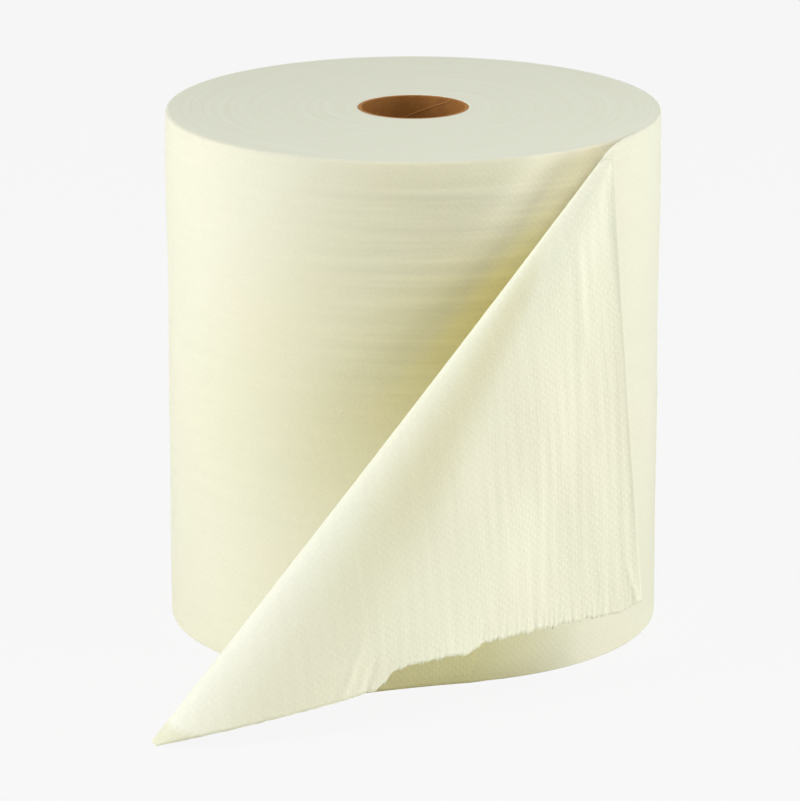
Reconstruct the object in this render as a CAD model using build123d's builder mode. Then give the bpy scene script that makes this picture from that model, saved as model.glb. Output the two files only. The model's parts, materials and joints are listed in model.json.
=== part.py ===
from build123d import *
import os
from math import ceil, cos, radians, sin

# Wound roll, standing on its end with its axis on Z; the front is -Y
roll_radius = 132.0
roll_height = 280.0
turn_lines = 4  # turns that show as lines on each end
turn_line_width = 1.6
turn_line_depth = 0.5
turn_line_margin = 5.0  # from the core and from the rim

# Cardboard core, wound from a strip whose edges leave a seam in the bore
core_bore_radius = 27.5
core_wall = 2.3
seam_pitch = 70.0
seam_lead = 7.5  # height over the top end at which the seam would come round to +X
seam_width = 1.4
seam_depth = 0.4

# Loose end of the web: angles are from the front, to the right of it positive
sheet_thickness = 0.6
sheet_bed = 0.3  # how far the web's root beds into the roll
leave_low_angle = 13.0  # where the web leaves the roll, at the floor
leave_high_angle = 61.0  # and at the top edge
tip_angle = -31.0  # the folded corner that rests on the floor
tip_reach = 124.2  # its distance from the roll
fold_angle = 38.2  # where the fold meets the web's top edge
fold_reach = 24.0
fold_bow = 1.5  # the fold's sideways bow at half height

# The turn-over along the fold, a slack cone that opens towards the floor
back_low = 28.0
back_high = 4.0
belly_low = 28.0
belly_high = 3.0
turn_low = 72.0
turn_high = 3.0
edge_low = 25.5  # how far the flap's clean edge lies past the top of the fold
edge_high = 4.0
edge_lift = 2.0  # how far the clean edge stands in front of the fold
edge_share = 0.2  # part of the turn-over's belly that is left at the clean edge
slack_pull = 0.43  # how long the curves of the web and the flap hold their direction
round_pull = 0.6  # the same for the turn-over
sheet_levels = 7  # plan sections that the sheet is ruled through

# Torn end of the web, the flap's lower edge
tear_rise = 45.0  # height at the flap's free corner
tear_power = 0.75
tear_wave = 2.3  # height of the slow waves along the tear
tear_waves = 3.1
tear_start_angle = 240.0
tear_tooth = 1.5  # height of the short teeth
tear_steps = 60
tear_quiet_share = 0.33  # from the tip, over which the teeth grow
tear_clear = 1.0  # the tear stays this far in front of the fold
tear_margin = 30.0  # the cut passes the sheet by this much

core_radius = core_bore_radius + core_wall


def around(angle, radius):
    """A plan point at an angle from the front."""
    return Vector(radius * sin(radians(angle)), -radius * cos(radians(angle)))


def blend(low, high, rise):
    return low + (high - low) * rise


tip = around(tip_angle, roll_radius + tip_reach)
fold_top = around(fold_angle, roll_radius + fold_reach)
along = (fold_top - tip).normalized()  # plan direction of the fold, to the right
outward = Vector(along.Y, -along.X)  # plan normal of the flap, to the front
front = Vector(0, -1)
side = Vector(1, 0)


def sheet_face(rise, offset):
    """One face of the sheet in plan, at a share of the roll's height: web, turn-over and flap."""
    leave_angle = blend(leave_low_angle, leave_high_angle, rise)
    back = blend(back_low, back_high, rise)
    belly = blend(belly_low, belly_high, rise)
    turn = blend(turn_low, turn_high, rise)
    fold = tip + (fold_top - tip) * rise + side * (fold_bow * 4 * rise * (1 - rise))
    crown = fold + along * turn + outward * (belly - offset)
    reach = along.dot(fold_top) + blend(edge_low, edge_high, rise)
    edge = along * reach + outward * (outward.dot(fold_top) + edge_lift + belly * edge_share - offset)
    fold += side * offset
    leave = around(leave_angle, roll_radius + sheet_thickness / 2 - sheet_bed + offset)
    leave_pull = around(leave_angle - 90, (fold - leave).length * slack_pull)
    flap_pull = along * ((edge - crown).length * slack_pull)
    tight = offset * round_pull
    return [
        Bezier(leave, leave + leave_pull, fold - front * (back - tight), fold),
        Bezier(
            fold,
            fold + front * (belly * round_pull - tight),
            crown - along * (turn * round_pull - tight),
            crown,
        ),
        Bezier(crown, crown + flap_pull, edge - flap_pull, edge),
    ]


def tear_height(index):
    """The torn edge: a slow rise to the free corner, with waves and short uneven teeth."""
    share = index / tear_steps
    wave = tear_wave * sin(radians(tear_waves * 360 * share + tear_start_angle))
    tooth = tear_tooth * (sin(2.3 * index) + sin(5.1 * index + 1) / 2)
    return tear_rise * share**tear_power + (wave + tooth) * min(1, share / tear_quiet_share)


def sheet_stretch(index):
    """A stretch of the loose end, ruled from one plan section to the next: web, turn-over or flap."""
    with BuildPart() as stretch:
        for level in range(sheet_levels):
            rise = level / (sheet_levels - 1)
            outer = sheet_face(rise, sheet_thickness / 2)[index]
            inner = sheet_face(rise, -sheet_thickness / 2)[index]
            with BuildSketch(Plane.XY.offset(roll_height * rise)):
                with BuildLine():
                    add(outer)
                    Line(outer @ 1, inner @ 1)
                    add(inner)
                    Line(inner @ 0, outer @ 0)
                make_face()
        loft(ruled=True)
    return stretch.part


# The wound turns: one solid, with a few turns that show as lines on its ends
middle_radius = (core_radius + roll_radius) / 2
line_span = roll_radius - core_radius - 2 * turn_line_margin
with BuildPart() as wound_roll:
    with BuildSketch(Plane.XZ):
        with Locations((middle_radius, roll_height / 2)):
            Rectangle(roll_radius - core_radius, roll_height)
            with GridLocations(line_span / (turn_lines - 1), roll_height, turn_lines, 2):
                Polygon(
                    (-turn_line_width / 2, 0),
                    (0, -turn_line_depth),
                    (turn_line_width / 2, 0),
                    (0, turn_line_depth),
                    mode=Mode.SUBTRACT,
                )
    revolve(axis=Axis.Z)

# What is torn off below the ragged edge
flap_length = along.dot(fold_top - tip) + edge_low
tear_points = [(flap_length * i / tear_steps, tear_height(i)) for i in range(tear_steps + 1)]
with BuildPart() as torn_off:
    with BuildSketch(Plane(tip + outward * tear_clear, x_dir=along, z_dir=outward)):
        with BuildLine():
            Polyline(
                *tear_points,
                (flap_length + tear_margin, tear_rise),
                (flap_length + tear_margin, -tear_margin),
                (0, -tear_margin),
                close=True,
            )
        make_face()
    extrude(amount=belly_low + tear_margin)

# The loose end in three stretches that meet edge to edge: the web is bedded on the roll
with BuildPart() as loose_web:
    add(sheet_stretch(0))
    with BuildSketch():
        Circle(roll_radius)
    extrude(amount=roll_height, mode=Mode.SUBTRACT)
with BuildPart() as turn_over:
    add(sheet_stretch(1))
    add(torn_off.part, mode=Mode.SUBTRACT)
with BuildPart() as loose_flap:
    add(sheet_stretch(2))
    add(torn_off.part, mode=Mode.SUBTRACT)

# The core: a tube as long as the roll, with its helical seam cut one turn at a time from the top
with BuildPart() as cardboard_core:
    with BuildSketch():
        Circle(core_radius)
        Circle(core_bore_radius, mode=Mode.SUBTRACT)
    extrude(amount=roll_height)
    for turn in range(ceil((roll_height + seam_lead) / seam_pitch)):
        with BuildLine(Plane.XY.offset(roll_height + seam_lead - seam_pitch * (turn + 1))) as seam_turn:
            seam = Helix(seam_pitch, seam_pitch, core_bore_radius, lefthand=True)
        with BuildSketch(Plane(seam @ 0, x_dir=(1, 0, 0), z_dir=seam % 0)):
            Rectangle(2 * seam_depth, seam_width)
        sweep(path=seam_turn.line, is_frenet=True, mode=Mode.SUBTRACT)

wound_roll.part.label = "wound_roll"
loose_web.part.label = "loose_web"
turn_over.part.label = "turn_over"
loose_flap.part.label = "loose_flap"
cardboard_core.part.label = "cardboard_core"

os.makedirs("parts", exist_ok=True)
export_step(wound_roll.part, "parts/wound_roll.step")
export_step(loose_web.part, "parts/loose_web.step")
export_step(turn_over.part, "parts/turn_over.step")
export_step(loose_flap.part, "parts/loose_flap.step")
export_step(cardboard_core.part, "parts/cardboard_core.step")
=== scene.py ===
import bpy
import json
import math
import numpy as np
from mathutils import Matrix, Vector

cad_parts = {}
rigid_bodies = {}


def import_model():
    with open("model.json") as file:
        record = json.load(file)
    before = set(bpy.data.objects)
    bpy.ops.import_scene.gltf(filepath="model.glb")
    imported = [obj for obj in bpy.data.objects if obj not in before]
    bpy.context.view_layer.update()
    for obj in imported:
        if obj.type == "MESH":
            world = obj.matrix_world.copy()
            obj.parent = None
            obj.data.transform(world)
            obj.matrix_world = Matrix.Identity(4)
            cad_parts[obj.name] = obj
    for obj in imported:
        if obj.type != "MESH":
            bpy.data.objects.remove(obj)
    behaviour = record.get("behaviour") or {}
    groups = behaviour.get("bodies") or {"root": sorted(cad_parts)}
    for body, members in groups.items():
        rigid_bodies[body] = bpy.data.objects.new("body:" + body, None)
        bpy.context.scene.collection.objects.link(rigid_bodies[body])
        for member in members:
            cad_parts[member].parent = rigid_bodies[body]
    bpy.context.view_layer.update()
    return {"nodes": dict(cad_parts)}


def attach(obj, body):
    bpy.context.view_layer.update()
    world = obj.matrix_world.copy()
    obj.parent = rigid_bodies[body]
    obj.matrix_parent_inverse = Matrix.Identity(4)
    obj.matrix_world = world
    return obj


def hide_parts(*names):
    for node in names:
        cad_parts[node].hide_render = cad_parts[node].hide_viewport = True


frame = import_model()
scene = bpy.context.scene
scene.view_settings.view_transform = "Standard"
mm = 0.001
rollRadius, rollHeight = 132.0, 280.0  # millimetres, as in the solids
coreOuter, coreBore = 29.8, 27.5
webRadius = rollRadius - 0.25  # the loose sheet's middle where it lies on the roll
creaseFade = (0.2, 0.25)  # shares of its length: a crease starts before its end point and is full after it
noiseRange = (0.3, 0.7)  # most values of a noise lie in it
print("frame loaded:", sorted(frame["nodes"]))


def blend(low, high, share):
    return low + (high - low) * share


def ease(x, low, high):  # 0 below low, 1 above high, a smooth step between
    t = np.clip((x - low) / (high - low), 0, 1)
    return t * t * (3 - 2 * t)


def bell(x, middle, width):
    return np.exp(-((x - middle) / width) ** 2)


def past(x, soft):  # 0 for negative x, x itself for positive x, rounded over the length soft
    return np.logaddexp(0, x / soft) * soft


def ripples(x, y, pitchX, pitchY, count, seed):
    # soft uneven relief: a sum of cosines of x and y whose pitches vary by half and whose phases are random
    rng = np.random.default_rng(seed)
    total = np.zeros(np.broadcast(x, y).shape)
    for _ in range(count):
        kx, ky = 2 * np.pi * rng.uniform(0.5, 1.5, 2) / (pitchX, pitchY) * rng.choice((-1, 1), 2)
        total += np.cos(kx * x + ky * y + rng.uniform(0, 2 * np.pi))
    return total / math.sqrt(count)


def crease(x, y, x0, y0, x1, y1, width):
    # a ridge along the line from (x0, y0) to (x1, y1): a bell across it, fading at both ends
    dx, dy = x1 - x0, y1 - y0
    run = math.hypot(dx, dy)
    along = ((x - x0) * dx + (y - y0) * dy) / run
    across = ((y - y0) * dx - (x - x0) * dy) / run
    before, full = creaseFade[0] * run, creaseFade[1] * run
    return bell(across, 0, width) * ease(along, -before, full) * (1 - ease(along, run - full, run + before))


def gridPiece(name, points, flat=None, wrapU=False, wrapV=False, bands=None, caps=False):
    # quads between neighbours of a grid of points (u, v, xyz), in millimetres;
    # flat holds the paper's own coordinates, bands the material of each row of faces along v
    nu, nv = points.shape[:2]
    i, j = np.meshgrid(np.arange(nu - (not wrapU)), np.arange(nv - (not wrapV)), indexing="ij")
    a = np.stack([i, i + 1, i + 1, i], -1).reshape(-1, 4)
    b = np.stack([j, j, j + 1, j + 1], -1).reshape(-1, 4)
    if caps:  # three quads close each end of a loop of eight points
        cap = np.array([[0, 1, 2, 3], [0, 3, 4, 7], [4, 5, 6, 7]])
        a = np.concatenate([a, 0 * cap, 0 * cap + nu - 1])
        b = np.concatenate([b, cap, cap[:, ::-1]])
    faces = (a % nu) * nv + b % nv
    mesh = bpy.data.meshes.new(name)
    mesh.vertices.add(nu * nv)
    mesh.vertices.foreach_set("co", (points * mm).astype(np.float32).ravel())
    mesh.loops.add(faces.size)
    mesh.loops.foreach_set("vertex_index", faces.astype(np.int32).ravel())
    mesh.polygons.add(len(faces))
    mesh.polygons.foreach_set("loop_start", np.arange(0, faces.size, 4, dtype=np.int32))
    mesh.polygons.foreach_set("use_smooth", np.ones(len(faces), bool))
    if bands is not None:
        bands = np.broadcast_to(bands, i.shape).astype(np.int32)
        mesh.polygons.foreach_set("material_index", bands.ravel())
    mesh.update(calc_edges=True)
    if flat is not None:
        layer = mesh.uv_layers.new(name="flat")
        layer.data.foreach_set("uv", flat[a, b].astype(np.float32).ravel())
    piece = bpy.data.objects.new(name, mesh)
    scene.collection.objects.link(piece)
    return piece


def closeRound(flat):  # the first point across the strip comes again where the loop closes
    return np.concatenate([flat, flat[:, :1]], 1)


def addPaintedLight(piece, name, paintedLights):
    # painted light and shade: the colour by which a side's own colour is multiplied, each painted tint
    # counting by its share at the point
    colour = 1.0
    for share, paintedLight in paintedLights:
        colour = colour * (1 + np.asarray(share)[..., None] * (np.array(paintedLight) - 1))
    layer = piece.data.attributes.new(name, "FLOAT_COLOR", "POINT")
    colour = np.concatenate([colour, np.ones(colour.shape[:-1] + (1,))], -1)
    layer.data.foreach_set("color", colour.astype(np.float32).ravel())


def addStreaks(piece, values):  # how strongly the bands along the web show at each point
    layer = piece.data.attributes.new("streaks", "FLOAT", "POINT")
    layer.data.foreach_set("value", values.astype(np.float32).ravel())


def facing(place, aim):
    return (Vector(aim) - Vector(place)).to_track_quat("-Z", "Y").to_euler()


camera = dict(place=(0.0, -2.5457, 0.8393), aim=(-0.0071, 0.0, 0.1171), lens=219.3, farthest=50)
eye = bpy.data.objects.new("eye", bpy.data.cameras.new("eye"))
eye.data.lens = camera["lens"]
eye.data.clip_end = camera["farthest"]
eye.location = camera["place"]
eye.rotation_euler = facing(camera["place"], camera["aim"])
scene.collection.objects.link(eye)
scene.camera = eye
print("camera set")


def newMaterial(name):
    material = bpy.data.materials.new(name)
    material.use_nodes = True
    return material, material.node_tree


def put(tree, socket, value):  # a link from another node, or a constant on the socket itself
    if isinstance(value, bpy.types.NodeSocket):
        tree.links.new(value, socket)
    else:
        socket.default_value = value


def add(tree, kind, inputs=(), **settings):
    node = tree.nodes.new(kind)
    for key, value in settings.items():
        setattr(node, key, value)
    for socket, value in dict(inputs).items():
        put(tree, node.inputs[socket], value)
    return node


def shade(tree, inputs):
    for socket, value in inputs.items():
        put(tree, tree.nodes["Principled BSDF"].inputs[socket], value)


def calc(tree, operation, a, b=0.0):
    return add(tree, "ShaderNodeMath", {0: a, 1: b}, operation=operation).outputs[0]


def calcVector(tree, operation, a, b):
    return add(tree, "ShaderNodeVectorMath", {0: a, 1: b}, operation=operation).outputs[0]


def noise(tree, place, scale, detail, roughness=0.5, output="Fac"):
    inputs = {"Vector": place, "Scale": scale, "Detail": detail, "Roughness": roughness}
    return add(tree, "ShaderNodeTexNoise", inputs).outputs[output]


def spread(tree, value, low, high, least=0.0, most=1.0, kind="LINEAR"):
    inputs = {0: value, 1: low, 2: high, 3: least, 4: most}
    return add(tree, "ShaderNodeMapRange", inputs, interpolation_type=kind).outputs[0]


def bump(tree, height, strength, depth, **under):
    inputs = {"Strength": strength, "Distance": depth, "Height": height, **under}
    return add(tree, "ShaderNodeBump", inputs).outputs[0]


def mixColour(tree, share, a, b, kind="MIX"):
    return add(tree, "ShaderNodeMix", {0: share, 6: a, 7: b}, data_type="RGBA", blend_type=kind).outputs[2]


# each side's colour is multiplied by an attribute of painted light and shade that the pieces carry
towelLook = dict(
    cream=(0.80, 0.785, 0.63, 1), warm=(0.815, 0.78, 0.625, 1), cool=(0.785, 0.79, 0.635, 1),
    creamShare=0.5, patchScale=0.013, patchRange=(0.35, 0.65), paintedLight="outerPaintedLight",
    embossPitch=2.95, embossDepth=0.00009, embossStrength=1.0, embossRange=(0.2, 1.9), embossTone=0.02,
    driftScale=0.14, driftReach=(3.2, 3.2, 0), fadeScale=0.12, fadeLeast=0.35,
    fibreScale=0.5, fibreDepth=0.00013, fibreStrength=0.8, fibreTone=0.02,
    streakStretch=(0.03, 0.5, 1), streakShare=0.8, bandStretch=(0.006, 0.19, 1), bandTone=0.12,
    roughness=0.92, specular=0.2, sheen=0.08, sheenRoughness=0.6,
)
insideLook = dict(  # what differs on the other side: a paler cream, partly the paper's own other side and partly painted light that stands in for light coming through the sheet
    cream=(0.915, 0.905, 0.725, 1), warm=(0.93, 0.90, 0.725, 1), cool=(0.90, 0.91, 0.73, 1),
    embossDepth=0.00012, paintedLight="innerPaintedLight",
)


def towelMaterial(name, look):
    # embossed tissue: two crossing waves on the flat sheet's diagonals make the dots, fine noise the fibres
    material, tree = newMaterial(name)
    flat = add(tree, "ShaderNodeUVMap", uv_map="flat").outputs[0]
    # the dots lie on a grid that drifts a little and fades in places
    drift = noise(tree, flat, look["driftScale"], detail=2.0, output="Color")
    drifted = calcVector(tree, "ADD", flat, calcVector(tree, "MULTIPLY", drift, look["driftReach"]))
    x, y, _ = add(tree, "ShaderNodeSeparateXYZ", {0: drifted}).outputs
    turn = 2 * math.pi / look["embossPitch"] * math.sqrt(0.5)
    rising = calc(tree, "COSINE", calc(tree, "MULTIPLY", calc(tree, "ADD", x, y), turn))
    falling = calc(tree, "COSINE", calc(tree, "MULTIPLY", calc(tree, "SUBTRACT", x, y), turn))
    dots = spread(tree, calc(tree, "ADD", rising, falling), *look["embossRange"], kind="SMOOTHSTEP")
    fade = spread(tree, noise(tree, flat, look["fadeScale"], detail=2.0), *noiseRange, look["fadeLeast"])
    dots = calc(tree, "MULTIPLY", dots, fade)
    # fibres, and fine streaks along the web
    fibres = noise(tree, flat, look["fibreScale"], detail=5.0, roughness=0.7)
    streakPlace = calcVector(tree, "MULTIPLY", flat, look["streakStretch"])
    streaks = noise(tree, streakPlace, 1.0, detail=3.0)
    height = calc(tree, "ADD", fibres, calc(tree, "MULTIPLY", streaks, look["streakShare"]))
    fibreBump = bump(tree, height, look["fibreStrength"], look["fibreDepth"])
    embossBump = bump(tree, dots, look["embossStrength"], look["embossDepth"], Normal=fibreBump)
    # colour: slow patches, then darker bands along the web, pale dots and uneven fibres, then the side's
    # painted light and shade from the pieces' attribute
    patches = spread(tree, noise(tree, flat, look["patchScale"], detail=3.0), *look["patchRange"])
    colour = mixColour(tree, patches, look["cool"], look["warm"])
    colour = mixColour(tree, look["creamShare"], colour, look["cream"])
    bandPlace = calcVector(tree, "MULTIPLY", flat, look["bandStretch"])
    bands = noise(tree, bandPlace, 1.0, detail=4.0, roughness=0.6)
    strength = add(tree, "ShaderNodeAttribute", attribute_name="streaks").outputs["Fac"]
    strength = calc(tree, "MULTIPLY", strength, look["bandTone"])
    bands = calc(tree, "MULTIPLY", strength, spread(tree, bands, *noiseRange))
    tone = calc(tree, "SUBTRACT", 1 - look["embossTone"], bands)
    tone = calc(tree, "ADD", calc(tree, "MULTIPLY", dots, look["embossTone"]), tone)
    tone = calc(tree, "ADD", tone, spread(tree, fibres, *noiseRange, -look["fibreTone"], look["fibreTone"]))
    grey = add(tree, "ShaderNodeCombineColor", {0: tone, 1: tone, 2: tone}).outputs[0]
    paintedLight = add(tree, "ShaderNodeAttribute", attribute_name=look["paintedLight"]).outputs["Color"]
    colour = mixColour(tree, 1.0, colour, grey, "MULTIPLY")
    colour = mixColour(tree, 1.0, colour, paintedLight, "MULTIPLY")
    shade(tree, {
        "Base Color": colour, "Normal": embossBump, "Roughness": look["roughness"],
        "Specular IOR Level": look["specular"], "Sheen Weight": look["sheen"],
        "Sheen Roughness": look["sheenRoughness"],
    })
    return material


endLook = dict(
    pale=(0.90, 0.905, 0.755, 1), dark=(0.85, 0.85, 0.69, 1), roughness=0.95, specular=0.15,
    turnScale=900.0, aroundScale=14.0, grainScale=1400.0, grainShare=0.5, turnDepth=0.00014, turnStrength=0.7,
)


def endMaterial(name, look):
    # the cut ends of the turns: noise that is fine along the radius and long around the axis
    material, tree = newMaterial(name)
    place = add(tree, "ShaderNodeTexCoord").outputs["Object"]
    x, y, _ = add(tree, "ShaderNodeSeparateXYZ", {0: place}).outputs
    plan = add(tree, "ShaderNodeCombineXYZ", {0: x, 1: y}).outputs[0]
    radius = add(tree, "ShaderNodeVectorMath", {0: plan}, operation="LENGTH").outputs["Value"]
    scales = ((radius, look["turnScale"]), (x, look["aroundScale"]), (y, look["aroundScale"]))
    ring = {n: calc(tree, "MULTIPLY", value, scale) for n, (value, scale) in enumerate(scales)}
    ring = add(tree, "ShaderNodeCombineXYZ", ring).outputs[0]
    turns = noise(tree, ring, 1.0, detail=3.0, roughness=0.6)
    grain = noise(tree, place, look["grainScale"], detail=3.0)
    height = calc(tree, "ADD", turns, calc(tree, "MULTIPLY", grain, look["grainShare"]))
    shade(tree, {
        "Base Color": mixColour(tree, spread(tree, turns, *noiseRange), look["dark"], look["pale"]),
        "Normal": bump(tree, height, look["turnStrength"], look["turnDepth"]),
        "Roughness": look["roughness"], "Specular IOR Level": look["specular"],
    })
    return material


boardLook = dict(
    brown=(0.40, 0.17, 0.035, 1), dark=(0.25, 0.095, 0.016, 1), pale=(0.42, 0.20, 0.06, 1),
    fibreStretch=(0.12, 0.9, 1), fibreScale=1.2, fibreDepth=0.00012, fibreStrength=0.6,
    blotchScale=0.09, mixShare=0.6, mixRange=(0.35, 0.8), roughness=0.75, specular=0.3,
)


def boardMaterial(name, light, dark, look):
    # kraft board: fibres drawn out along the winding direction over a blotchy brown
    material, tree = newMaterial(name)
    flat = add(tree, "ShaderNodeUVMap", uv_map="flat").outputs[0]
    stretched = calcVector(tree, "MULTIPLY", flat, look["fibreStretch"])
    fibres = noise(tree, stretched, look["fibreScale"], detail=5.0, roughness=0.7)
    blotch = noise(tree, flat, look["blotchScale"], detail=3.0)
    shares = (calc(tree, "MULTIPLY", value, look["mixShare"]) for value in (fibres, blotch))
    share = calc(tree, "ADD", *shares)
    shade(tree, {
        "Base Color": mixColour(tree, spread(tree, share, *look["mixRange"]), dark, light),
        "Normal": bump(tree, fibres, look["fibreStrength"], look["fibreDepth"]),
        "Roughness": look["roughness"], "Specular IOR Level": look["specular"],
    })
    return material


# the paper's side that faces out on the roll, and the side that the fold turns to the front
towelPaper = towelMaterial("towelPaper", towelLook)
towelInside = towelMaterial("towelInside", {**towelLook, **insideLook})
towelEnds = endMaterial("towelEnds", endLook)
kraftBoard = boardMaterial("kraftBoard", boardLook["brown"], boardLook["dark"], boardLook)
kraftEdge = boardMaterial("kraftEdge", boardLook["pale"], boardLook["brown"], boardLook)
print("materials made")


# lengths in millimetres, angles in degrees from the front; pairs are for the floor and for the top edge
sheetLook = dict(
    leaveAngles=(13.0, 61.0), tip=(-31.0, 124.2), foldTop=(38.2, 24.0), foldBow=1.5,
    back=(28.0, 4.0), belly=(28.0, 3.0), turn=(72.0, 3.0), edge=(25.5, 4.0), edgeLift=2.0, edgeShare=0.2,
    slackPull=0.43, roundPull=0.6, thickness=0.45, tuck=9.0, tuckSteps=4, tuckLean=0.12,
    columns=(40, 56, 400), rows=88, rowCrowd=0.35, levels=41, tearRounds=12, tearPace=0.6,
    pleat=0.07, pleatOnWeb=0.35, slackness=0.45,  # relief
    strip=19.0, stripLeast=1.0, stripSoft=1.2, stripBend=0.06,  # the strip along the clean edge
    curl=1.8, curlSoft=0.5, curlBend=0.3,  # the clean edge itself
    bareTip=((7.7, 8.7), (18.7, 5.8)), bareSoft=6.0, bareStep=0.35,
    combPitch=4.2, combReach=7.0, comb=0.16,  # fibres drawn out at the tear
    pocket=72.0, pocketTop=0.92, pocketLeast=4.0,  # the band of painted shade on the flap's front, over the deepest part of the pocket behind it
    # painted shade for that band and for the bare tip, painted light near the fold and inside the pocket
    deepShadeTint=(0.90, 0.875, 0.77), foldLightTint=(1.02, 1.02, 1.07), pocketLightTint=(1.22, 1.17, 0.85),
    bareShadeTint=(0.90, 0.89, 0.80), streaks=0.25,
    tear=dict(
        first=20.0, firstRun=110.0, power=0.7, slow=0.03, dip=1.6, dipPlace=(164, 6),
        steps=((9.0, 110, 125), (1.6, 120, 140), (2.5, 168, 176), (5.5, 254, 276)),  # height, from and to
        tooth=0.35, nick=0.16, quiet=0.25, fray=1.3,
        strands=1.7, strandPlace=(120, 6), shortStrands=0.35, leastStrands=0.12,
    ),
    creases=(  # from and to on the flap as seen from the front, then height and width
        ((262, 62, 268, 40), 0.5, 1.6),
        ((236, 128, 252, 132), 0.45, 1.8),
        ((92, 16, 104, 44), 0.7, 2.4),
        ((104, 12, 112, 36), -0.6, 2.2),
        ((80, 30, 98, 34), 0.4, 2.0),
        ((231, 240, 237, 178), 0.4, 2.6),
    ),
)


def around(angle, radius):  # plan point at an angle from the front, to the right of it positive
    a = np.radians(angle)
    return np.stack([radius * np.sin(a), -radius * np.cos(a)], -1)


tip = around(sheetLook["tip"][0], rollRadius + sheetLook["tip"][1])
foldTop = around(sheetLook["foldTop"][0], rollRadius + sheetLook["foldTop"][1])
foldRun = float(np.linalg.norm(foldTop - tip))
alongFlap = (foldTop - tip) / foldRun  # plan direction of the flap, to the right
outFlap = np.array([alongFlap[1], -alongFlap[0]])  # its plan normal, to the front


def bezier(a, b, c, d, k):  # cubic with the ends a and d and the pulls b and c
    k = k[..., None]
    return (1 - k) ** 3 * a + 3 * (1 - k) ** 2 * k * b + 3 * (1 - k) * k**2 * c + k**3 * d


def sheetPlan(stretch, k, rise):
    # plan point of the sheet at a share k of the web, the turn-over or the flap and a share of the height:
    # every stretch is a cubic whose ends and pulls change evenly with height, as in the solids
    s = sheetLook
    back, belly, turn = (blend(*s[key], rise)[..., None] for key in ("back", "belly", "turn"))
    leaveAngle = blend(*s["leaveAngles"], rise)
    fold = tip + (foldTop - tip) * rise[..., None]
    fold = fold + np.array([1.0, 0.0]) * (s["foldBow"] * 4 * rise * (1 - rise))[..., None]
    crown = fold + alongFlap * turn + outFlap * belly
    reach = (alongFlap @ foldTop + blend(*s["edge"], rise))[..., None]
    edge = alongFlap * reach + outFlap * (outFlap @ foldTop + s["edgeLift"] + belly * s["edgeShare"])
    front = np.array([0.0, -1.0])
    if stretch == 0:
        leave = around(leaveAngle, webRadius)
        span = np.linalg.norm(fold - leave, axis=-1)
        pull = around(leaveAngle - 90, span * s["slackPull"])
        return bezier(leave, leave + pull, fold - front * back, fold, k)
    if stretch == 1:
        pull = s["roundPull"]
        return bezier(fold, fold + front * belly * pull, crown - alongFlap * turn * pull, crown, k)
    pull = alongFlap * (np.linalg.norm(edge - crown, axis=-1) * s["slackPull"])[..., None]
    return bezier(crown, crown + pull, edge - pull, edge, k)


def tearHeight(run):
    # height of the torn edge at a distance along the flap: it rises fast from the tip, slowly past the middle
    # and in steps where the tear jumped, with one dip, uneven teeth and fibres that hang down
    t = sheetLook["tear"]
    rise = t["first"] * (np.clip(run, 0, t["firstRun"]) / t["firstRun"]) ** t["power"]
    rise = rise + t["slow"] * np.maximum(run - t["firstRun"], 0)
    for height, start, end in t["steps"]:
        rise = rise + height * ease(run, start, end)
    rise = rise - t["dip"] * bell(run, *t["dipPlace"])
    teeth = t["tooth"] * ripples(run, 0 * run, 11.0, 1, count=8, seed=41)
    teeth = teeth + t["nick"] * ripples(run, 0 * run, 2.6, 1, count=7, seed=43)
    teeth = teeth * blend(t["quiet"], 1, ease(run, 95, 125)) * ease(run, 4, 40)
    fibres = np.maximum(ripples(run, 0 * run, 2.2, 1, count=6, seed=47), 0) ** 2
    strands = t["strands"] * bell(run, *t["strandPlace"]) + t["leastStrands"]
    strands = strands + t["shortStrands"] * ease(run, 128, 140) * (1 - ease(run, 215, 250))
    return rise + teeth - t["fray"] * fibres * strands * ease(run, 4, 60)


def sheetGrid():
    # points of the plain sheet, with the share of the height and the length from the fold at each
    s = sheetLook
    web, turn, flap = s["columns"]
    stretch = np.repeat([0, 1, 2], [web, turn, flap + 1])
    k = np.concatenate([np.arange(web) / web, np.arange(turn) / turn, np.arange(flap + 1) / flap])
    low = np.zeros(len(k))  # share of the height at which each column begins
    for _ in range(s["tearRounds"]):  # each column comes to stop where it meets the tear
        for n in (1, 2):
            pick = stretch == n
            run = (sheetPlan(n, k[pick], low[pick]) - tip) @ alongFlap
            low[pick] = blend(low[pick], np.maximum(tearHeight(run), 0) / rollHeight, s["tearPace"])
    q = np.linspace(0, 1, s["rows"])[None, :]
    q = blend(q, q**2, s["rowCrowd"])  # rows lie closer near the torn edge
    rise = low[:, None] + (1 - low[:, None]) * q
    plan = np.zeros(rise.shape + (2,))
    levels = np.linspace(0, 1, s["levels"])
    level = np.broadcast_to(levels, (len(k), len(levels)))
    ruled = np.zeros(level.shape + (2,))
    for n in (0, 1, 2):
        pick = stretch == n
        plan[pick] = sheetPlan(n, np.broadcast_to(k[pick][:, None], rise[pick].shape), rise[pick])
        ruled[pick] = sheetPlan(n, np.broadcast_to(k[pick][:, None], level[pick].shape), level[pick])
    # length along the plan line from the fold, measured at even heights
    step = np.linalg.norm(np.diff(ruled, axis=0), axis=-1)
    length = np.concatenate([np.zeros((1, len(levels))), np.cumsum(step, 0)], 0)
    length = length - length[web]
    run = np.array([np.interp(r, levels, l) for r, l in zip(rise, length)])
    points = np.concatenate([plan, rise[..., None] * rollHeight], -1)
    return points, rise, run


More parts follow.
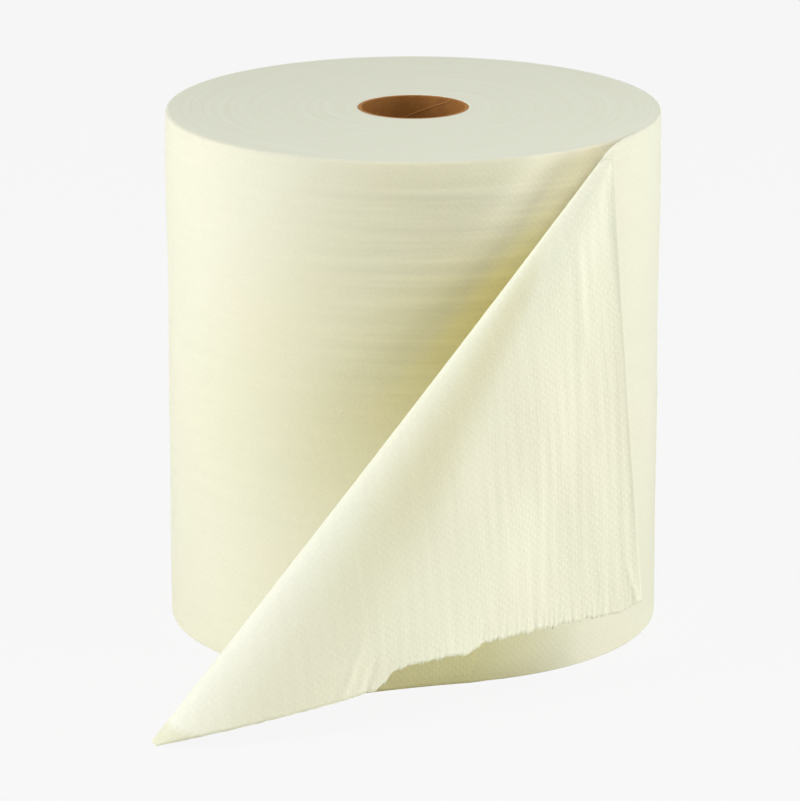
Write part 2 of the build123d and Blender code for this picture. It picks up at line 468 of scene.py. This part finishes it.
def buildSheet():
    s = sheetLook
    points, rise, run = sheetGrid()
    # the sheet's root stays on the roll for a little way behind the line at which it leaves
    steps = s["tuckSteps"]
    extra = np.arange(steps, 0, -1)[:, None] * s["tuck"] / steps
    leaveAngle = blend(*s["leaveAngles"], rise[0])[None, :]
    rootRadius = webRadius - s["tuckLean"] * extra + 0 * leaveAngle
    root = around(leaveAngle + np.degrees(extra / rollRadius), rootRadius)
    root = np.concatenate([root, np.broadcast_to(rise[0] * rollHeight, root.shape[:2])[..., None]], -1)
    points = np.concatenate([root, points], 0)
    rise = np.concatenate([np.broadcast_to(rise[0], root.shape[:2]), rise], 0)
    run = np.concatenate([run[0] - extra, run], 0)
    z = points[..., 2]
    onFlap = np.arange(len(points))[:, None] >= s["columns"][0] + steps
    # flat coordinates: the web as it lies, and the flap mirrored over the fold
    unrolled = foldRun * rise + np.abs(run)
    slope = math.atan2(rollHeight, foldRun)
    c2, s2 = math.cos(2 * slope), math.sin(2 * slope)
    flatX = np.where(onFlap, unrolled * c2 + z * s2, unrolled)
    flatY = np.where(onFlap, unrolled * s2 - z * c2, z)
    edgeGap = run[-1] - run  # distance to the flap's clean edge
    tearGap = z - z[:, :1]  # height over the torn edge
    flapX = (points[..., :2] - tip) @ alongFlap  # place on the flap as seen from the front
    seen = onFlap * ease(run, 0, 25)
    # relief to the front: pleats along the web and a slow slackness
    pleats = s["pleat"] * ripples(flatX, flatY, 120, 9, count=9, seed=3)
    slackness = s["slackness"] * ripples(flatX, flatY, 130, 70, count=5, seed=11)
    relief = pleats * blend(s["pleatOnWeb"], 1, onFlap) + slackness * seen * ease(edgeGap, 0, 40)
    # the strip along the clean edge bends back, and the edge itself curls forward
    strip = s["strip"] * ease(z, 30, 120) * (1 - ease(z, 228, 262)) + s["stripLeast"]
    relief -= s["stripBend"] * past(strip - edgeGap, s["stripSoft"]) * seen * ease(z, 40, 130)
    relief += s["curlBend"] * past(s["curl"] - edgeGap, s["curlSoft"]) * seen * ease(z, 60, 110)
    for line, depth, width in s["creases"]:
        relief += depth * crease(flapX, z, *line, width) * seen
    # the tear leaves the corner of the layer behind bare: the tip's side of a short line lies deeper
    (x0, z0), (x1, z1) = s["bareTip"]
    aside = (flapX - x0) * (z1 - z0) - (z - z0) * (x1 - x0)
    bare = onFlap * ease(aside, -s["bareSoft"], s["bareSoft"])
    relief -= s["bareStep"] * bare
    comb = s["comb"] * ripples(flapX, z, s["combPitch"], 60, count=7, seed=21)
    relief += comb * np.exp(-tearGap / s["combReach"]) * seen
    normal = np.cross(np.gradient(points, axis=0), np.gradient(points, axis=1))
    normal /= np.maximum(np.linalg.norm(normal, axis=-1, keepdims=True), 1e-9)
    points = points - normal * (relief * np.where(onFlap, -1, 1))[..., None]
    points[..., 2] = np.maximum(points[..., 2], 0.0)
    piece = gridPiece("looseSheet", points, np.stack([flatX, flatY], -1))
    # painted shade on the flap's front in a band that widens from the top of the fold, where the pocket
    # behind it is deepest
    share = np.maximum(run, 0) / np.maximum(s["pocket"] * (s["pocketTop"] - rise), s["pocketLeast"])
    flapShade = ease(share, 0.15, 0.95) * (1 - 0.85 * ease(share, 1.05, 2.0))
    flapShade = flapShade * (1 - ease(rise, 0.75, 0.9)) * blend(0.25, 1, ease(rise, 0.12, 0.5)) * onFlap
    foldLight = onFlap * (1 - ease(share, 0.1, 0.7)) * (1 - ease(rise, 0.2, 0.6))
    # the flap's front: painted shade in the band and on the bare tip, painted light near the fold
    addPaintedLight(piece, "innerPaintedLight", [(flapShade, s["deepShadeTint"]), (foldLight, s["foldLightTint"]), (bare, s["bareShadeTint"])])
    # the web's outer face low in the pocket: painted light that stands in for light coming through the paper
    addPaintedLight(piece, "outerPaintedLight", [(~onFlap * (1 - ease(z, 100, 190)), s["pocketLightTint"])])
    addStreaks(piece, np.full(z.shape, s["streaks"]))
    piece.data.materials.append(towelInside)
    piece.data.materials.append(towelPaper)
    solid = piece.modifiers.new("thickness", "SOLIDIFY")
    solid.material_offset = 1
    solid.thickness = s["thickness"] * mm
    solid.offset = 0.0
    return piece


looseSheet = buildSheet()
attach(looseSheet, "root")
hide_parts("loose_web", "turn_over", "loose_flap")
print("loose sheet:", len(looseSheet.data.polygons), "quads")


bodyLook = dict(
    columns=400, wallRows=92, endRows=96, lowSkip=4, rim=1.6, rimSteps=6, calm=8.0,
    bandDepth=0.15, bandStrength=(0.5, 0.8), bandPlace=(30, 70), slackDepth=0.25, leaveWidth=22.0,
    endDepth=0.04, endDrift=1.2,
    # painted shade beside the fold and close to it, painted light near the top edge, and the shares of the
    # shade beside the fold
    besideShadeTint=(0.955, 0.90, 0.63), topPaintedLightTint=(1.23, 1.21, 1.25), closeShadeTint=(1.03, 0.98, 0.78),
    besideFar=0.38, besideNear=0.5, flapEdge=(46, 40), streaks=(0.15, 1.0),
    creases=(  # from and to on the wall, as arc and height, then height and width
        ((-10, 259, 70, 259), 0.22, 1.6),
        ((-205, 118, -160, 96), 0.3, 1.8),
        ((-200, 104, -165, 88), -0.25, 1.8),
        ((-98, 78, -66, 74), 0.25, 1.5),
        ((-60, 214, 40, 216), 0.15, 2.2),
        ((0, 205, 75, 206), -0.15, 2.2),
    ),
)


def sheetPaintedLight(theta, z):
    # shares of painted light and shade on the wall near the loose sheet: painted shade beside the fold, where
    # it grows towards the fold and weakens where the fold hangs far out;
    # painted light behind the flap, where it ends at the flap's clean edge; painted light near the top edge,
    # where light falls in from above;
    # and painted shade close to the fold as seen from the front
    b = bodyLook
    rise = np.clip(z / rollHeight, 0, 1)
    fold = tip + (foldTop - tip) * rise[..., None]
    gap = np.hypot(fold[..., 0], fold[..., 1]) - rollRadius
    toFold = np.degrees(theta - np.arctan2(fold[..., 0], -fold[..., 1]))
    toEdge = np.degrees(theta) - blend(*b["flapEdge"], rise)
    top = ease(z, 205, 262)
    left = 1 - ease(toFold, 4, 20)
    beside = b["besideFar"] * ease(toFold, -75, -20) + b["besideNear"] * ease(toFold, -30, -2)
    beside = beside * (1 - 0.85 * ease(gap, 15, 85)) * left * (1 - 0.8 * top * ease(toFold, -40, -5))
    behind = (1 - left) * (1 - ease(toEdge, -40, 0))
    high = top * ease(toFold, -18, -2) * left
    close = ease(rollRadius * np.sin(theta) - fold[..., 0], -18, 0) * left
    close = close * ease(z, 130, 200) * (1 - 0.8 * ease(z, 215, 262))
    return beside, behind, high, close


def buildBody():
    b = bodyLook
    theta = np.linspace(-np.pi, np.pi, b["columns"], endpoint=False)[:, None]
    rim = b["rim"]
    curve = np.linspace(0, np.pi / 2, b["rimSteps"])
    wallZ = np.linspace(rim, rollHeight - rim, b["wallRows"])
    endR = np.linspace(coreOuter, rollRadius - rim, b["endRows"])
    lowR = endR[::b["lowSkip"]]
    # profile from the bore along the bottom end, up the wall and back along the top end
    r = np.concatenate([lowR[:-1], rollRadius - rim + rim * np.sin(curve),
                        np.full(len(wallZ) - 2, rollRadius),
                        rollRadius - rim + rim * np.cos(curve), endR[::-1][1:]])
    z = np.concatenate([0 * lowR[:-1], rim - rim * np.cos(curve), wallZ[1:-1],
                        rollHeight - rim + rim * np.sin(curve), np.full(len(endR) - 1, rollHeight)])
    wallFirst = len(lowR) - 1
    wallLast = len(r) - len(endR) + 1
    bands = np.ones(len(r), int)
    bands[wallFirst + 2:wallLast - 2] = 0
    onWall = np.zeros(len(r))
    onWall[wallFirst:wallLast] = 1
    onTop = np.zeros(len(r))
    onTop[wallLast:] = 1
    r, z, onWall, onTop = (np.broadcast_to(v, (b["columns"], len(r))).copy() for v in (r, z, onWall, onTop))
    arc = theta * rollRadius
    # the wall: bands along the web, stronger at the front, and a few creases, smooth where the web leaves
    least, more = b["bandStrength"]
    strength = least + more * bell(arc, *b["bandPlace"]) * ease(z, 120, 200)
    relief = b["bandDepth"] * ripples(arc, z, 420, 10.5, count=9, seed=5) * strength
    relief += b["slackDepth"] * ripples(arc, z, 260, 150, count=5, seed=8)
    for line, depth, width in b["creases"]:
        relief += depth * crease(arc, z, *line, width)
    inside = ease(z, 0, b["calm"]) * (1 - ease(z, rollHeight - b["calm"], rollHeight))
    leaveArc = np.radians(blend(*sheetLook["leaveAngles"], z / rollHeight)) * rollRadius
    r += relief * onWall * inside * (1 - bell(arc, leaveArc, b["leaveWidth"]))
    # the top end: turns that stand a little higher or lower, with a spiral's drift
    turns = b["endDepth"] * ripples(r + theta * b["endDrift"], theta * 40, 9.0, 160, count=9, seed=13)
    z += turns * onTop * ease(rollRadius - r, 1, 6) * ease(r - coreOuter, 0.2, 3)
    points = np.stack([r * np.sin(theta), -r * np.cos(theta), z], -1)
    flatArc = np.concatenate([arc, [[np.pi * rollRadius]]], 0)
    flatZ = np.concatenate([z, z[:1]], 0)
    flat = closeRound(np.stack([np.broadcast_to(flatArc, flatZ.shape), flatZ], -1))
    piece = gridPiece("woundBody", points, flat, wrapU=True, wrapV=True, bands=bands[None, :])
    # painted shade beside the fold, painted light behind the flap and near the top edge, painted shade close
    # to the fold
    paintedLights = (b["besideShadeTint"], sheetLook["pocketLightTint"], b["topPaintedLightTint"], b["closeShadeTint"])
    addPaintedLight(piece, "outerPaintedLight", [(share * onWall, paintedLight) for share, paintedLight in zip(sheetPaintedLight(theta, z), paintedLights)])
    front = ease(arc, -70, 5) * (1 - ease(arc, 80, 110)) * ease(z, 110, 190) * (1 - ease(z, 262, 278))
    addStreaks(piece, blend(*b["streaks"], front))
    piece.data.materials.append(towelPaper)
    piece.data.materials.append(towelEnds)
    return piece


woundBody = buildBody()
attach(woundBody, "root")
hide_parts("wound_roll")
print("wound body:", len(woundBody.data.polygons), "quads")


coreLook = dict(
    columns=120, rows=70, edge=0.5, edgeSteps=5, uneven=0.06,
    seamPitch=70.0, seamLead=7.5, seamWidth=0.9, seamHeight=0.22, seamBed=0.05, seamMargin=0.8, seamSteps=560,
)


def buildCore():
    # a tube with rounded edges: its profile runs up the outside, over the top and down the bore
    c = coreLook
    theta = np.linspace(-np.pi, np.pi, c["columns"], endpoint=False)[:, None]
    e, steps = c["edge"], c["edgeSteps"]
    curve = np.linspace(0, np.pi / 2, steps)
    wallZ = np.linspace(e, rollHeight - e, c["rows"])
    r = np.concatenate([coreOuter - e + e * np.sin(curve), coreOuter - e + e * np.cos(curve),
                        coreBore + e - e * np.sin(curve), np.full(len(wallZ) - 2, coreBore),
                        coreBore + e - e * np.cos(curve)])
    z = np.concatenate([e - e * np.cos(curve), rollHeight - e + e * np.sin(curve),
                        rollHeight - e + e * np.cos(curve), wallZ[::-1][1:-1], e - e * np.sin(curve)])
    bands = np.zeros(len(r), int)
    bands[steps:2 * steps] = 1
    bands[-1] = 1
    r, z = (np.broadcast_to(v, (c["columns"], len(r))).copy() for v in (r, z))
    onBore = r < coreBore + 0.1
    r += c["uneven"] * ripples(theta * 30, z, 40, 30, count=6, seed=31) * onBore
    points = np.stack([r * np.sin(theta), -r * np.cos(theta), z], -1)
    # flat coordinates lie along the winding and across it
    flatZ = np.concatenate([z, z[:1]], 0)
    arc = np.broadcast_to(np.concatenate([theta, [[np.pi]]], 0) * coreBore, flatZ.shape)
    lean = c["seamPitch"] / (2 * np.pi * coreBore)
    flat = closeRound(np.stack([arc - flatZ * lean, flatZ + arc * lean], -1))
    piece = gridPiece("boardCore", points, flat, wrapU=True, wrapV=True, bands=bands[None, :])
    piece.data.materials.append(kraftBoard)
    piece.data.materials.append(kraftEdge)
    return piece


def buildSeam():
    # the edge of the core's inner strip: a flat bead carried along a left-hand helix on the bore
    c = coreLook
    turn = np.linspace(c["seamMargin"], rollHeight - c["seamMargin"], c["seamSteps"])[:, None]
    angle = (rollHeight + c["seamLead"] - turn) / c["seamPitch"] * 2 * np.pi  # from +X
    loop = np.linspace(0, 2 * np.pi, 8, endpoint=False)[None, :]
    r = coreBore + c["seamBed"] - c["seamHeight"] * 0.5 * (1 + np.cos(loop))
    z = turn + c["seamWidth"] / 2 * np.sin(loop)
    points = np.stack([r * np.cos(angle), r * np.sin(angle), z], -1)
    flat = closeRound(np.stack([np.broadcast_to(turn, z.shape), np.broadcast_to(loop, z.shape)], -1))
    piece = gridPiece("coreSeam", points, flat, wrapV=True, caps=True)
    piece.data.materials.append(kraftEdge)
    return piece


for piece in (buildCore(), buildSeam()):
    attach(piece, "root")
    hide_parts("cardboard_core")
print("core and seam made")


stageLook = dict(
    pale=0.94, size=9.0, drop=0.3, glow=0.97, floor=(0.96, 0.95, 0.87, 1),
    fill=(1.0, 0.96, 0.78, 1), fillStrength=0.12, lampColour=(0.98, 1.0, 1.04),
)
lamps = dict(  # place, aim, width, height and power
    leftBox=((-1.82, -0.74, 1.00), (0, 0, 0.14), 1.1, 1.8, 40.0),
    rightBox=((2.0, -0.45, 0.55), (0, 0, 0.14), 1.1, 1.0, 11.8),
    lowBox=((1.3, -0.95, 0.16), (0, -0.1, 0.05), 0.8, 0.2, 4.6),
    highBox=((0.90, -0.35, 1.50), (0, 0, 0.2), 0.6, 0.6, 11.5),
)


def seenDirectly(tree):  # 1 for what a camera sees, also in a mirror or through glass
    path = add(tree, "ShaderNodeLightPath").outputs
    direct = calc(tree, "MAXIMUM", path["Is Camera Ray"], path["Is Glossy Ray"])
    return calc(tree, "MAXIMUM", direct, path["Is Transmission Ray"])


def buildFloor():
    half = stageLook["size"] / mm / 2
    side = np.linspace(-half, half, 3)
    x, y = np.meshgrid(side, side, indexing="ij")
    piece = gridPiece("floor", np.stack([x, y, 0 * x - stageLook["drop"]], -1))
    material, tree = newMaterial("paleFloor")
    shade(tree, {"Base Color": stageLook["floor"], "Roughness": 1.0, "Specular IOR Level": 0.0})
    # seen directly it glows to the background's tone and keeps a share of the shadow
    glow = add(tree, "ShaderNodeEmission", {"Color": (1, 1, 1, 1), "Strength": stageLook["pale"]}).outputs[0]
    share = calc(tree, "MULTIPLY", seenDirectly(tree), stageLook["glow"])
    shaded = tree.nodes["Principled BSDF"].outputs[0]
    mixed = add(tree, "ShaderNodeMixShader", {0: share, 1: shaded, 2: glow}).outputs[0]
    put(tree, tree.nodes["Material Output"].inputs["Surface"], mixed)
    piece.data.materials.append(material)


def buildWorld():
    # a weak fill light, and the background's tone where it is seen directly
    world = bpy.data.worlds.new("studio")
    scene.world = world
    world.use_nodes = True
    tree = world.node_tree
    fill = tree.nodes["Background"]
    put(tree, fill.inputs["Color"], stageLook["fill"])
    put(tree, fill.inputs["Strength"], stageLook["fillStrength"])
    seen = add(tree, "ShaderNodeBackground", {"Color": (stageLook["pale"],) * 3 + (1,)})
    inputs = {0: seenDirectly(tree), 1: fill.outputs[0], 2: seen.outputs[0]}
    mixed = add(tree, "ShaderNodeMixShader", inputs).outputs[0]
    put(tree, tree.nodes["World Output"].inputs["Surface"], mixed)


def buildLamps():
    for name, (place, aim, width, height, power) in lamps.items():
        lamp = bpy.data.objects.new(name, bpy.data.lights.new(name, "AREA"))
        lamp.data.shape = "RECTANGLE"
        lamp.data.size = width
        lamp.data.size_y = height
        lamp.data.energy = power
        lamp.data.color = stageLook["lampColour"]
        lamp.location = place
        lamp.rotation_euler = facing(place, aim)
        scene.collection.objects.link(lamp)


buildFloor()
buildWorld()
buildLamps()
print("stage and light set")
